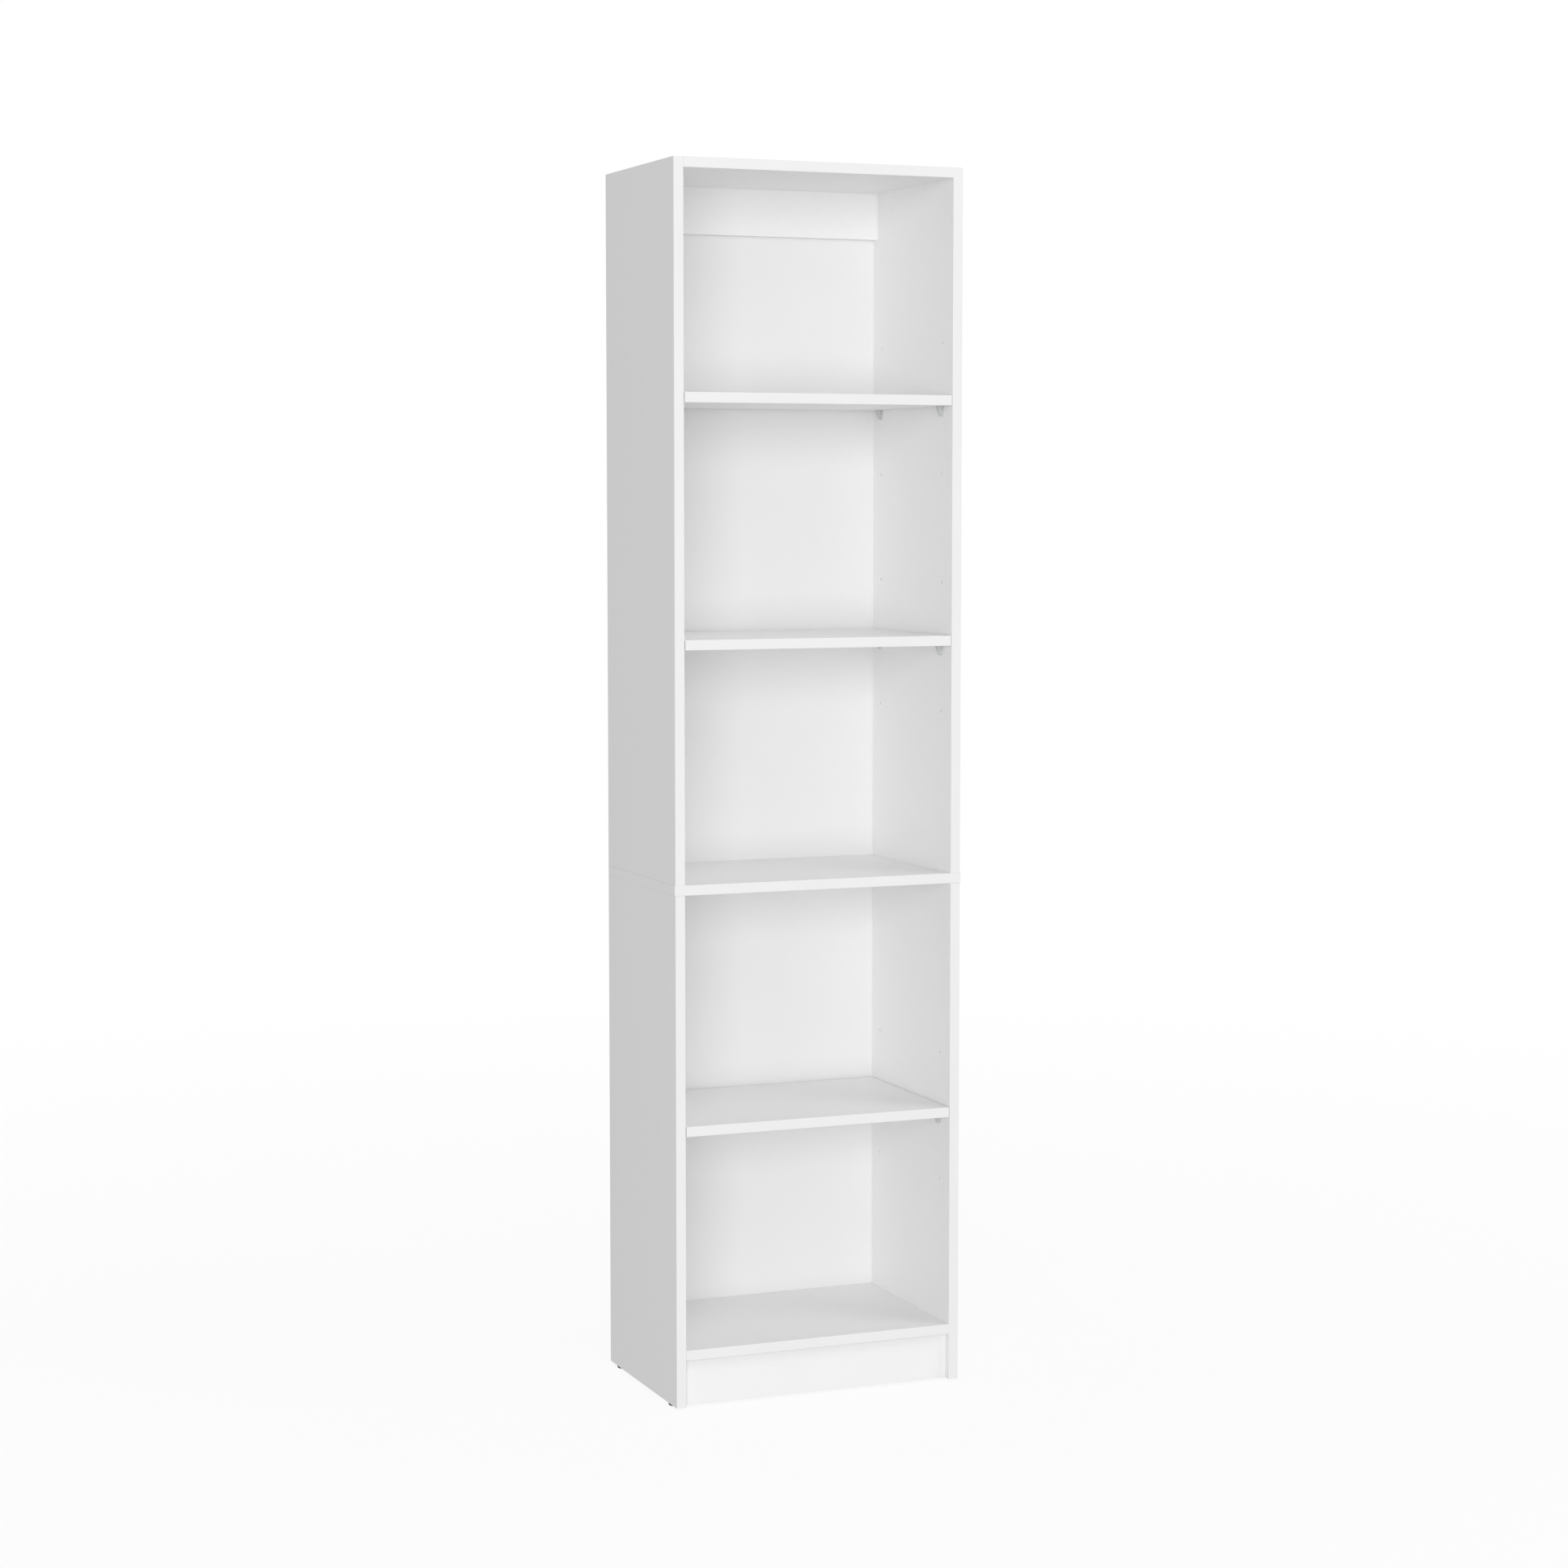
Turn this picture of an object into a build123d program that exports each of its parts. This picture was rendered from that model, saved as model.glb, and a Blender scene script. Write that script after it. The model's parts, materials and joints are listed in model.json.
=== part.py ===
from build123d import *
import os

# Tall bookcase of 15 mm white boards, in millimetres. +X is the owner's right, +Y the back, +Z up.
# The origin is on the floor, at the middle of the outer width and depth.

# ------------------------------ driving dimensions
SIDE_TO_SIDE = 450.0            # over the outer faces of the two sides
SIDE_DEPTH = 293.0              # front of the edging to the rear edge of a side
BOARD = 15.0                    # thickness of every board
CASE_HEIGHT = 1800.0            # bottom of the sides to the top
GLIDE_HEIGHT = 4.0              # the glides lift the case off the floor
LOWER_SIDE_HEIGHT = 750.0       # the fixed shelf lies on the lower sides
PLINTH_HEIGHT = 69.0
PLINTH_SETBACK = 12.0
RAIL_HEIGHT = 70.0

EDGING = 1.0                    # thickness of the plastic edging
ARRIS = 0.8                     # rounding of the edging's long edges

BACK_SHEET = 3.0                # hardboard back, let into a rebate in the sides
REBATE_WIDTH = 7.5
BACK_SHEET_PLAY = 0.5           # between the sheet's edge and the rebate
BACK_SHEET_SEAM = 1.0           # gap between the two sheets, behind the fixed shelf
BACK_SHEET_TOP_GAP = 3.0        # top of the case to the sheet's top edge
BACK_SHEET_BOTTOM_GAP = 6.0     # bottom of the sides to the sheet's bottom edge

SHELF_PLAY = 1.2                # gap between a loose shelf and each side
SHELF_DEPTH = 286.0
SHELF_UNDERSIDES = {"upper": 1455.0, "centre": 1102.5, "lower": 398.5}    # above the bottom of the sides

PIN_HOLE_RADIUS = 2.5
PIN_HOLE_DEPTH = 10.0
PIN_HOLE_DROP = 3.0             # underside of a shelf to the centre of the pin holes that carry it
PIN_ROW_PITCH = 96.0            # one empty row above and one below each shelf
PIN_COLUMN_FRONT = 36.0         # front of the case to the front column
PIN_COLUMN_SPACING = 224.0
PIN_PLAY = 0.05                 # between peg and hole, all round
PEG_LENGTH = 9.0
LEDGE_REACH = 9.0
LEDGE_WIDTH = 10.0
LEDGE_CORNER = 3.8
TIP_REACH = 4.0
TIP_WIDTH = 5.4
TIP_CORNER = 2.2
WEDGE_DROP = 15.0               # top of the ledge to the tip of the wedge

GLIDE_RADIUS = 7.5
GLIDE_SOLE_ROUNDING = 2.6
GLIDE_SETBACKS = (34.0, 261.0)  # front of the case to each glide's centre
GLIDE_NAIL_RADIUS = 1.1
GLIDE_NAIL_LENGTH = 17.0
GLIDE_NAIL_HEAD_RADIUS = 2.4
GLIDE_NAIL_HEAD = 1.0
GLIDE_NAIL_SUNK = 0.4           # head above the floor

CAM_RADIUS = 7.4
CAM_DEPTH = 12.0
CAM_SUNK = 0.3                  # cam's face below the board's face
CAM_FROM_END = 24.0             # board's end to the cam's centre
CAM_POCKET_RADIUS = 7.5
CAM_POCKET_DEPTH = 12.5
CAM_SETBACKS = (48.0, 242.0)    # front of the case to the cams of the top panel and bottom shelf
CAM_UP_A_RAIL = 24.0            # lower edge of the rail or plinth to its cams
BOLT_THREAD_RADIUS = 2.45
BOLT_THREAD_LENGTH = 10.5
BOLT_HOLE_RADIUS = 2.5
BOLT_HOLE_DEPTH = 11.0

DOWEL_RADIUS = 3.95
DOWEL_HOLE_RADIUS = 4.0
DOWEL_IN_SIDE = 10.0
DOWEL_IN_BOARD = 20.0
DOWEL_HOLE_SPARE = 0.5          # each dowel hole is this much deeper than the dowel
DOWEL_SETBACKS = (80.0, 210.0)
DOWEL_UP_A_RAIL = 50.0
LONG_DOWEL_SETBACKS = (32.0, 145.0, 258.0)
SCREW_SETBACKS = (88.0, 202.0)
SCREW_LENGTH = 50.0
SCREW_HEAD_RADIUS = 5.0
SCREW_HEAD = 4.0
SCREW_SHANK_RADIUS = 3.5
SCREW_SHANK = 15.0
SCREW_THREAD_RADIUS = 2.6

NAIL_LENGTH = 20.0
NAIL_RADIUS = 0.8
NAIL_HEAD_RADIUS = 2.2
NAIL_HEAD = 0.8
NAIL_PLAY = 0.05                # the hole round a nail is this much larger
NAIL_EDGE = 3.7                 # seam of the sheets to the nails beside it
NAIL_COLUMNS = (-130.0, 0.0, 130.0)
SIDE_NAILS = {"upper": (800.0, 130.0, 8), "lower": (60.0, 112.0, 7)}      # first height, pitch, count

# ------------------------------ places worked out from them
FRONT = -SIDE_DEPTH / 2
REAR = SIDE_DEPTH / 2
SHEET_FRONT = REAR - BACK_SHEET
OUTER = SIDE_TO_SIDE / 2
INNER = OUTER - BOARD
MID_SIDE = OUTER - BOARD / 2
BOARD_FRONT = FRONT + EDGING
BASE = GLIDE_HEIGHT
TOP = BASE + CASE_HEIGHT
FIXED_LOW = BASE + LOWER_SIDE_HEIGHT
FIXED_HIGH = FIXED_LOW + BOARD
BOTTOM_LOW = BASE + PLINTH_HEIGHT
BOTTOM_HIGH = BOTTOM_LOW + BOARD
TOP_LOW = TOP - BOARD
PLINTH_FRONT = FRONT + PLINTH_SETBACK
RAIL_FRONT = SHEET_FRONT - BOARD
RAIL_LOW = TOP_LOW - RAIL_HEIGHT
SEAM = (FIXED_LOW + FIXED_HIGH) / 2
SHEET_HALF_WIDTH = INNER + REBATE_WIDTH - BACK_SHEET_PLAY
NAIL_COLUMN_SIDE = INNER + REBATE_WIDTH / 2
PIN_COLUMNS = {"front": FRONT + PIN_COLUMN_FRONT, "rear": FRONT + PIN_COLUMN_FRONT + PIN_COLUMN_SPACING}
SIDES = {"left": -1, "right": 1}
BELOW = (Align.CENTER, Align.CENTER, Align.MAX)
ABOVE = (Align.CENTER, Align.CENTER, Align.MIN)

parts = {}


# ------------------------------ shapes used by many pieces
def block(low, high):
    """A box between two corners."""
    size = [b - a for a, b in zip(low, high)]
    middle = [(a + b) / 2 for a, b in zip(low, high)]
    return Pos(*middle) * Box(*size)


def rod(radius, start, direction, length):
    """A round bar from start, along direction."""
    return Plane(origin=start, z_dir=direction) * Cylinder(radius, length, align=ABOVE)


def turned(outline):
    """A solid of revolution about local Z, from (radius, height) points."""
    return revolve(make_face(Plane.XZ * Polyline(*outline, close=True)), Axis.Z)


def edging(low, high, outward):
    """A strip of edging, with the two long arrises of its outward face rounded."""
    strip = block(low, high)
    outer_face = strip.faces().sort_by(outward)[-1]
    long_edges = outer_face.edges().sort_by(SortBy.LENGTH)[-2:]
    return fillet(long_edges, ARRIS)


def front_edging(left, right, low, high):
    return edging((left, FRONT, low), (right, BOARD_FRONT, high), -Axis.Y)


def cut(board, *tools):
    for tool in tools:
        board = board - tool
    return board


def group(shapes):
    """Several separate solids kept in one node."""
    return Compound([shape.solid() for shape in shapes])


# ------------------------------ cam lock, local frame
# Local Z is the outward normal of the face that holds the cam. Local X runs from the board's end to the cam.
def cam_lock():
    """The zinc cam: a drum with a sideways channel for the bolt's head and a cross recess in its face."""
    drum = Pos(0, 0, -CAM_SUNK) * Cylinder(CAM_RADIUS, CAM_DEPTH - CAM_SUNK, align=BELOW)
    drum = chamfer(drum.edges().group_by(Axis.Z)[-1], 0.4)
    channel = rod(4.0, (-CAM_RADIUS - 1, 0, -BOARD / 2), (1, 0, 0), CAM_RADIUS + 4)
    recess = Pos(0, 0, -CAM_SUNK) * (Box(6, 1.4, 2.5, align=BELOW) + Box(1.4, 6, 2.5, align=BELOW))
    return drum - channel - recess


def cam_bolt():
    """The steel bolt: thread in the side, collar against it, shank, and a head inside the cam."""
    face = -CAM_FROM_END
    outline = [(0, face - BOLT_THREAD_LENGTH), (1.6, face - BOLT_THREAD_LENGTH),
               (BOLT_THREAD_RADIUS, face - BOLT_THREAD_LENGTH + 1.5), (BOLT_THREAD_RADIUS, face),
               (3.8, face), (3.8, face + 1.5), (2.75, face + 2), (2.75, -6.5), (1.9, -5.5),
               (1.9, -2.2), (3.2, -1.4), (3.2, 1.4), (2.4, 2.2), (0, 2.2)]
    return Pos(0, 0, -BOARD / 2) * Rot(0, 90, 0) * turned(outline)


def cam_cutters():
    """What is drilled for one cam lock: pocket and end bore in the board, pilot hole in the side."""
    pocket = Cylinder(CAM_POCKET_RADIUS, CAM_POCKET_DEPTH, align=BELOW)
    bore = rod(DOWEL_HOLE_RADIUS, (-CAM_FROM_END, 0, -BOARD / 2), (1, 0, 0), CAM_FROM_END)
    pilot = rod(BOLT_HOLE_RADIUS, (-CAM_FROM_END, 0, -BOARD / 2), (-1, 0, 0), BOLT_HOLE_DEPTH)
    return pocket, bore, pilot


def cam_places(y_values, z_values, normal):
    """One local frame for each cam of a board that lies between the sides."""
    return {side: [Plane(origin=(sign * (INNER - CAM_FROM_END), y, z), x_dir=(-sign, 0, 0), z_dir=normal)
                   for y in y_values for z in z_values]
            for side, sign in SIDES.items()}


CAM_JOINTS = {
    "top_panel": cam_places([FRONT + s for s in CAM_SETBACKS], [TOP], (0, 0, 1)),
    "bottom_shelf": cam_places([FRONT + s for s in CAM_SETBACKS], [BOTTOM_LOW], (0, 0, -1)),
    "back_rail": cam_places([SHEET_FRONT], [RAIL_LOW + CAM_UP_A_RAIL], (0, 1, 0)),
    "plinth": cam_places([PLINTH_FRONT + BOARD], [BASE + CAM_UP_A_RAIL], (0, 1, 0)),
}

# ------------------------------ dowels at the boards' ends
DOWEL_POINTS = {
    "top_panel": [(FRONT + s, TOP - BOARD / 2) for s in DOWEL_SETBACKS],
    "bottom_shelf": [(FRONT + s, BOTTOM_LOW + BOARD / 2) for s in DOWEL_SETBACKS],
    "back_rail": [(RAIL_FRONT + BOARD / 2, RAIL_LOW + DOWEL_UP_A_RAIL)],
    "plinth": [(PLINTH_FRONT + BOARD / 2, BASE + DOWEL_UP_A_RAIL)],
}


def dowel(length):
    """A beech dowel along local Z, with bevelled ends."""
    pin = Cylinder(DOWEL_RADIUS, length, align=ABOVE)
    return chamfer(pin.edges().filter_by(GeomType.CIRCLE), 1.0)


def end_dowel(sign, y, z):
    frame = Plane(origin=(sign * (INNER + DOWEL_IN_SIDE), y, z), z_dir=(-sign, 0, 0))
    return frame * dowel(DOWEL_IN_SIDE + DOWEL_IN_BOARD)


def end_dowel_hole(sign, y, z):
    length = DOWEL_IN_SIDE + DOWEL_IN_BOARD + 2 * DOWEL_HOLE_SPARE
    start = (sign * (INNER + DOWEL_IN_SIDE + DOWEL_HOLE_SPARE), y, z)
    return rod(DOWEL_HOLE_RADIUS, start, (-sign, 0, 0), length)


def board_joint_cutters(board, side, for_side):
    """Everything drilled at one end of a board, in the board itself or in the side it meets."""
    sign = SIDES[side]
    pocket, bore, pilot = cam_cutters()
    drilled = [end_dowel_hole(sign, y, z) for y, z in DOWEL_POINTS[board]]
    for place in CAM_JOINTS[board][side]:
        drilled += [place * pilot] if for_side else [place * pocket, place * bore]
    return drilled


# ------------------------------ fixed shelf to sides: long dowels and screws
def long_dowel_places():
    return [(sign * MID_SIDE, FRONT + s) for sign in SIDES.values() for s in LONG_DOWEL_SETBACKS]


def screw_places():
    return [(sign * MID_SIDE, FRONT + s) for sign in SIDES.values() for s in SCREW_SETBACKS]


def joining_screw(play=0.0):
    """Joining screw along local -Z, its flat head at local zero."""
    head, shank, thread = SCREW_HEAD_RADIUS + play, SCREW_SHANK_RADIUS + play, SCREW_THREAD_RADIUS + play
    outline = [(0, 0), (head, 0), (shank, -SCREW_HEAD), (shank, -SCREW_SHANK), (thread, -SCREW_SHANK - 1),
               (thread, -SCREW_LENGTH + 2 - play), (0, -SCREW_LENGTH - play)]
    return turned(outline)


def fixed_shelf_cutters():
    length = BOARD + 2 * DOWEL_IN_BOARD + 2 * DOWEL_HOLE_SPARE
    low = FIXED_LOW - DOWEL_IN_BOARD - DOWEL_HOLE_SPARE
    dowels = [rod(DOWEL_HOLE_RADIUS, (x, y, low), (0, 0, 1), length) for x, y in long_dowel_places()]
    screws = [Pos(x, y, FIXED_HIGH) * joining_screw(NAIL_PLAY) for x, y in screw_places()]
    return dowels + screws


# ------------------------------ nails
def nail(play=0.0):
    """Flat-headed nail, driven along local -Z, its head flush at local zero."""
    outline = [(0, 0), (NAIL_HEAD_RADIUS + play, 0), (NAIL_HEAD_RADIUS + play, -NAIL_HEAD - play),
               (NAIL_RADIUS + play, -NAIL_HEAD - play), (NAIL_RADIUS + play, -NAIL_LENGTH + 2),
               (0, -NAIL_LENGTH - play)]
    return turned(outline)


def nail_points(sheet):
    """Where the nails of one back sheet go, as (x, z)."""
    first, pitch, count = SIDE_NAILS[sheet]
    points = [(sign * NAIL_COLUMN_SIDE, first + i * pitch) for sign in SIDES.values() for i in range(count)]
    seam_height = SEAM + NAIL_EDGE if sheet == "upper" else SEAM - NAIL_EDGE
    far_height = TOP - BOARD / 2 if sheet == "upper" else BOTTOM_LOW + BOARD / 2
    return points + [(x, z) for z in (seam_height, far_height) for x in NAIL_COLUMNS]


def nails_at(points, play=0.0):
    one = nail(play)
    return [Plane(origin=(x, REAR, z), z_dir=(0, 1, 0)) * one for x, z in points]


def nail_cutters(low, high, half_width_low, half_width_high):
    """Nail holes whose centres lie in a band of height and of distance from the middle."""
    points = [(x, z) for sheet in SIDE_NAILS for x, z in nail_points(sheet)
              if low < z < high and half_width_low <= abs(x) <= half_width_high]
    return nails_at(points, NAIL_PLAY)


# ------------------------------ glides
def glide_places():
    return {(side, row): (sign * MID_SIDE, FRONT + setback)
            for side, sign in SIDES.items() for row, setback in zip(("front", "rear"), GLIDE_SETBACKS)}


def glide_nail(play=0.0):
    """Nail driven up through the glide, along local +Z, its head just above the floor."""
    head = GLIDE_NAIL_HEAD_RADIUS + play
    shank = GLIDE_NAIL_RADIUS + play
    low = GLIDE_NAIL_SUNK
    under_head = low + GLIDE_NAIL_HEAD
    return turned([(0, low), (head, low), (head, under_head), (shank, under_head + play),
                   (shank, GLIDE_NAIL_LENGTH - 2), (0, GLIDE_NAIL_LENGTH + play)])


def glide():
    """A round plastic foot with a rounded sole and a countersunk hole for its nail."""
    foot = Cylinder(GLIDE_RADIUS, GLIDE_HEIGHT, align=ABOVE)
    foot = fillet(foot.edges().filter_by(GeomType.CIRCLE).sort_by(Axis.Z)[0], GLIDE_SOLE_ROUNDING)
    mouth = Cylinder(GLIDE_NAIL_HEAD_RADIUS + PIN_PLAY, GLIDE_NAIL_SUNK, align=ABOVE)
    return foot - glide_nail(PIN_PLAY) - mouth


# ------------------------------ shelf pins
def shelf_pin():
    """A plastic shelf pin. Local X points away from the wall and local zero is the top of the ledge.
    The wedge runs from a broad ledge with rounded corners down to a narrow rounded tip."""
    ledge = Pos(LEDGE_REACH / 2, 0) * Rectangle(LEDGE_REACH, LEDGE_WIDTH)
    ledge = fillet(ledge.vertices().group_by(Axis.X)[-1], LEDGE_CORNER)
    tip = Pos(TIP_REACH / 2, 0) * Rectangle(TIP_REACH, TIP_WIDTH)
    tip = fillet(tip.vertices().group_by(Axis.X)[-1], TIP_CORNER)
    wedge = loft([ledge, Pos(0, 0, -WEDGE_DROP) * tip], ruled=True)
    sole = wedge.faces().sort_by(Axis.Z)[0]
    wedge = fillet(sole.edges().filter_by(lambda e: e.center().X > 0.1), 1.6)
    peg = rod(PIN_HOLE_RADIUS - PIN_PLAY, (0, 0, -PIN_HOLE_DROP), (-1, 0, 0), PEG_LENGTH)
    peg = chamfer(peg.edges().group_by(Axis.X)[0], 0.6)
    return wedge + peg


def pin_hole_heights():
    """Heights of the pin hole rows, from the lowest."""
    carrying = [BASE + z - PIN_HOLE_DROP for z in SHELF_UNDERSIDES.values()]
    return sorted(z + step * PIN_ROW_PITCH for z in carrying for step in (-1, 0, 1))


def pin_hole_cutters(sign, low, high):
    return [rod(PIN_HOLE_RADIUS, (sign * INNER, y, z), (sign, 0, 0), PIN_HOLE_DEPTH)
            for y in PIN_COLUMNS.values() for z in pin_hole_heights() if low < z < high]


# ------------------------------ sides
def side_board(side, low, high, met_boards):
    """One length of a side, with its rebate for the back and all that is drilled in it."""
    sign = SIDES[side]
    left, right = sorted((sign * INNER, sign * OUTER))
    board = block((left, BOARD_FRONT, low), (right, REAR, high))
    left, right = sorted((sign * INNER, sign * (INNER + REBATE_WIDTH)))
    rebate = block((left, SHEET_FRONT, low), (right, REAR, high))
    drilled = pin_hole_cutters(sign, low, high) + nail_cutters(low, high, INNER, OUTER)
    for name in met_boards:
        drilled += board_joint_cutters(name, side, True)
    return cut(board, rebate, *drilled, *fixed_shelf_cutters())


for side, sign in SIDES.items():
    lower = side_board(side, BASE, FIXED_LOW, ("bottom_shelf", "plinth"))
    nail_holes = [Pos(x, y, 0) * glide_nail(PIN_PLAY) for x, y in glide_places().values()]
    parts[side + "_side_lower"] = cut(lower, *nail_holes)
    parts[side + "_side_upper"] = side_board(side, FIXED_HIGH, TOP, ("top_panel", "back_rail"))
    left, right = sorted((sign * INNER, sign * OUTER))
    parts[side + "_side_lower_edging"] = front_edging(left, right, BASE, FIXED_LOW)
    parts[side + "_side_upper_edging"] = front_edging(left, right, FIXED_HIGH, TOP)


# ------------------------------ boards between the sides
def cross_board(name, low, high):
    """A board between the sides, with its cam pockets, end bores and dowel holes."""
    board = block(low, high)
    return cut(board, *board_joint_cutters(name, "left", False), *board_joint_cutters(name, "right", False))


low, high = (-INNER, BOARD_FRONT, TOP_LOW), (INNER, SHEET_FRONT, TOP)
top_panel = cross_board("top_panel", low, high)
parts["top_panel"] = cut(top_panel, *nail_cutters(TOP_LOW, TOP, 0, INNER))
parts["top_panel_edging"] = front_edging(-INNER, INNER, TOP_LOW, TOP)

low, high = (-INNER, BOARD_FRONT, BOTTOM_LOW), (INNER, SHEET_FRONT, BOTTOM_HIGH)
bottom_shelf = cross_board("bottom_shelf", low, high)
parts["bottom_shelf"] = cut(bottom_shelf, *nail_cutters(BOTTOM_LOW, BOTTOM_HIGH, 0, INNER))
parts["bottom_shelf_edging"] = front_edging(-INNER, INNER, BOTTOM_LOW, BOTTOM_HIGH)

low, high = (-INNER, PLINTH_FRONT, BASE), (INNER, PLINTH_FRONT + BOARD, BOTTOM_LOW)
parts["plinth"] = cross_board("plinth", low, high)
low, high = (-INNER, RAIL_FRONT, RAIL_LOW), (INNER, SHEET_FRONT, TOP_LOW)
parts["back_rail"] = cross_board("back_rail", low, high)

# ------------------------------ fixed shelf, right through between the sides
fixed_shelf = block((-OUTER, BOARD_FRONT, FIXED_LOW), (OUTER, SHEET_FRONT, FIXED_HIGH))
fixed_shelf_nails = nail_cutters(FIXED_LOW, FIXED_HIGH, 0, INNER)
parts["fixed_shelf"] = cut(fixed_shelf, *fixed_shelf_cutters(), *fixed_shelf_nails)
strips = [front_edging(-OUTER - EDGING, OUTER + EDGING, FIXED_LOW, FIXED_HIGH),
          edging((OUTER, BOARD_FRONT, FIXED_LOW), (OUTER + EDGING, SHEET_FRONT, FIXED_HIGH), Axis.X),
          edging((-OUTER - EDGING, BOARD_FRONT, FIXED_LOW), (-OUTER, SHEET_FRONT, FIXED_HIGH), -Axis.X)]
parts["fixed_shelf_edging"] = group(strips)

# ------------------------------ loose shelves and their pins
shelf_half_width = INNER - SHELF_PLAY
pin = shelf_pin()
for level, underside in SHELF_UNDERSIDES.items():
    low, high = BASE + underside, BASE + underside + BOARD
    name = "adjustable_shelf_" + level
    corners = (-shelf_half_width, BOARD_FRONT, low), (shelf_half_width, FRONT + SHELF_DEPTH, high)
    parts[name] = block(*corners)
    parts[name + "_edging"] = front_edging(-shelf_half_width, shelf_half_width, low, high)
    for side, sign in SIDES.items():
        for row, y in PIN_COLUMNS.items():
            frame = Plane(origin=(sign * INNER, y, low), x_dir=(-sign, 0, 0), z_dir=(0, 0, 1))
            parts["_".join(("shelf_pin", level, row, side))] = frame * pin

# ------------------------------ back sheets
sheet_spans = {"upper": (SEAM + BACK_SHEET_SEAM / 2, TOP - BACK_SHEET_TOP_GAP),
               "lower": (BASE + BACK_SHEET_BOTTOM_GAP, SEAM - BACK_SHEET_SEAM / 2)}
for level, (low, high) in sheet_spans.items():
    sheet = block((-SHEET_HALF_WIDTH, SHEET_FRONT, low), (SHEET_HALF_WIDTH, REAR, high))
    parts["back_panel_" + level] = cut(sheet, *nails_at(nail_points(level), NAIL_PLAY))
    parts["back_nails_" + level] = group(nails_at(nail_points(level)))

# ------------------------------ fasteners, one group of separate solids per joint
for name, places in CAM_JOINTS.items():
    frames = places["left"] + places["right"]
    parts[name + "_cam_locks"] = group(frame * cam_lock() for frame in frames)
    parts[name + "_cam_bolts"] = group(frame * cam_bolt() for frame in frames)

dowel_points = [point for points in DOWEL_POINTS.values() for point in points]
parts["short_dowels"] = group(end_dowel(sign, y, z) for y, z in dowel_points for sign in SIDES.values())
long_dowel = Pos(0, 0, FIXED_LOW - DOWEL_IN_BOARD) * dowel(BOARD + 2 * DOWEL_IN_BOARD)
parts["long_dowels"] = group(Pos(x, y, 0) * long_dowel for x, y in long_dowel_places())
parts["joining_screws"] = group(Pos(x, y, FIXED_HIGH) * joining_screw() for x, y in screw_places())

# ------------------------------ glides
for (side, row), (x, y) in glide_places().items():
    parts["glide_" + row + "_" + side] = Pos(x, y, 0) * glide()
parts["glide_nails"] = group(Pos(x, y, 0) * glide_nail() for x, y in glide_places().values())

# ------------------------------ one STEP file for each piece
os.makedirs("parts", exist_ok=True)
for name, shape in parts.items():
    export_step(shape, "parts/" + name + ".step")
print(len(parts), "nodes written")
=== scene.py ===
import json
import math

import bpy
import numpy as np
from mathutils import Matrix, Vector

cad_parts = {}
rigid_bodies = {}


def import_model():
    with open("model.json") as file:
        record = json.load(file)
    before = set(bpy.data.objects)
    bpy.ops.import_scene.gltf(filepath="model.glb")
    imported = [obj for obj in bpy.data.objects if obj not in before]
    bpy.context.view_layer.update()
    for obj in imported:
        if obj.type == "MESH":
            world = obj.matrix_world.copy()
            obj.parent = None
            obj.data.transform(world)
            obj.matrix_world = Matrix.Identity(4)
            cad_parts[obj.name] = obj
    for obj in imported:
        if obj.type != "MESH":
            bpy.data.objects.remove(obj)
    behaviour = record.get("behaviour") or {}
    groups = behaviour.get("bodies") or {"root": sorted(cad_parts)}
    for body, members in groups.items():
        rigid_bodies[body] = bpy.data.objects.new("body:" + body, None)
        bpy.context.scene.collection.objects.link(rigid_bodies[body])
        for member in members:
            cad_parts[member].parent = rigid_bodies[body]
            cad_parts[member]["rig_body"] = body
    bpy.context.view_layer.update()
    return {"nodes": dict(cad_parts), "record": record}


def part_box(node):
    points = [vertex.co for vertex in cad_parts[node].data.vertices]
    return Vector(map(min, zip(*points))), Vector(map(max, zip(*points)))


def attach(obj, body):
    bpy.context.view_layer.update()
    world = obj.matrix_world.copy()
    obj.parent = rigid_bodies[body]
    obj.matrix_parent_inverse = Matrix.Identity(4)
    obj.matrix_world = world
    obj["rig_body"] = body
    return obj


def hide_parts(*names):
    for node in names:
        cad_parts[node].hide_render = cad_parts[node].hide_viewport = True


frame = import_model()

# Lengths are in metres, in the bookcase's own frame: +X to the owner's right, +Y to the back, +Z up.
MM = 0.001
X, Y, Z = 0, 1, 2

# Drilling and edges
PIN_HOLE_DEPTH = 10.0 * MM
CAM_POCKET_RADIUS = 7.5 * MM
CAM_POCKET_DEPTH = 12.5 * MM
NAIL_SEAT_DEPTH = 0.9 * MM
NAIL_SEAT_PLAY = 0.05 * MM
RIM_CHAMFER = 0.2 * MM          # broken edge round each drilled hole
BOARD_ARRIS = 0.18 * MM         # sawn and eased edges of the boards
SHEET_ARRIS = 0.12 * MM
REBATE_WIDTH = 7.5 * MM
EDGING_ARRIS = 0.8 * MM
ARRIS_STEPS = 6
ARRIS_MARGIN = 0.2 * MM         # between a strip's flat face and its rounding, for an even sheen
HOLE_FACETS = 48
CELL_SHARE = 1.6                # half width of the square cell round a hole, over the hole's radius
BORE = (None, 0)                # the bores take a finish of their own, as an edge does
SAME_POINT_DIGITS = 7           # points alike to this many decimals of a metre are one
SAME_POINT = 1e-7
SAME_CELL = 1e-6
SHARP_ANGLE = math.radians(40)
EASED_ANGLE = math.radians(60)

# Nails
NAIL_SHANK_SHARE = 0.36         # shank radius over head radius
NAIL_HEAD_THICKNESS = 0.8 * MM
NAIL_POINT = 2.0 * MM
NAIL_FACETS = 24

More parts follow.
